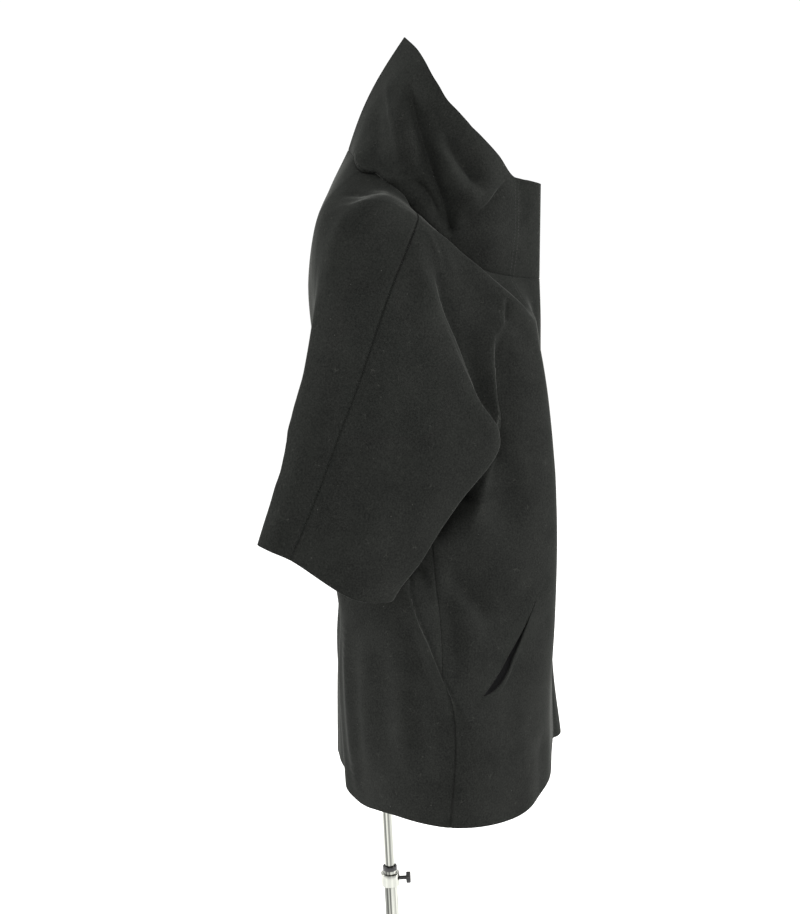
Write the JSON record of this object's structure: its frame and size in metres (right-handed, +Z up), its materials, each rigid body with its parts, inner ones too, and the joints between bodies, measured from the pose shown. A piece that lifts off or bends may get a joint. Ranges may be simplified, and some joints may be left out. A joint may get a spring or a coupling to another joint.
{
  "type": "short coat on a dress form and stand",
  "caption": "Short wool coat with a high funnel collar, cut-on sleeves and slit pockets, hung closed on a limbless dress form with a height-adjustable stand.",
  "frame": {"origin": "on the floor, at the middle of the base's underside, on the pole's axis", "axes": "+Z up along the pole, -Y towards the coat's front, -X towards the coat's right side"},
  "size_m": [0.613, 0.4422, 1.5737],
  "materials": {
    "wool": "felted, matte, very dark grey",
    "pocketing": "thin dark twill",
    "calico": "plain weave, matte",
    "varnished_wood": "satin varnish",
    "bright_metal": "bright",
    "black_metal": "satin black"
  },
  "bodies": {
    "stand": {"base": "bright_metal", "lower_tube": "bright_metal", "tube_bush": "black_metal", "clamp_collar": "bright_metal"},
    "mast": {"pole": "bright_metal"},
    "figure": {"form_torso": "calico", "neck_cap": "varnished_wood", "form_socket": "black_metal", "front_right": "wool", "front_left": "wool", "back_right": "wool", "back_left": "wool", "collar_right": "wool", "collar_left": "wool", "pocket_right": "pocketing", "pocket_left": "pocketing"},
    "screw": {"thumbscrew": "black_metal"}
  },
  "joints": [
    {"name": "height", "type": "slide", "parent": "stand", "child": "mast", "axis": [0, 0, 1], "range_m": [-0.1, 0.17]},
    {"name": "swivel", "type": "hinge", "parent": "mast", "child": "figure", "pos_m": [0, 0, 0.6], "axis": [0, 0, 1], "continuous": true},
    {"name": "screw_turn", "type": "hinge", "parent": "stand", "child": "screw", "pos_m": [0, 0, 0.337], "axis": [0, -1, 0], "range_deg": [0, 360]}
  ]
}
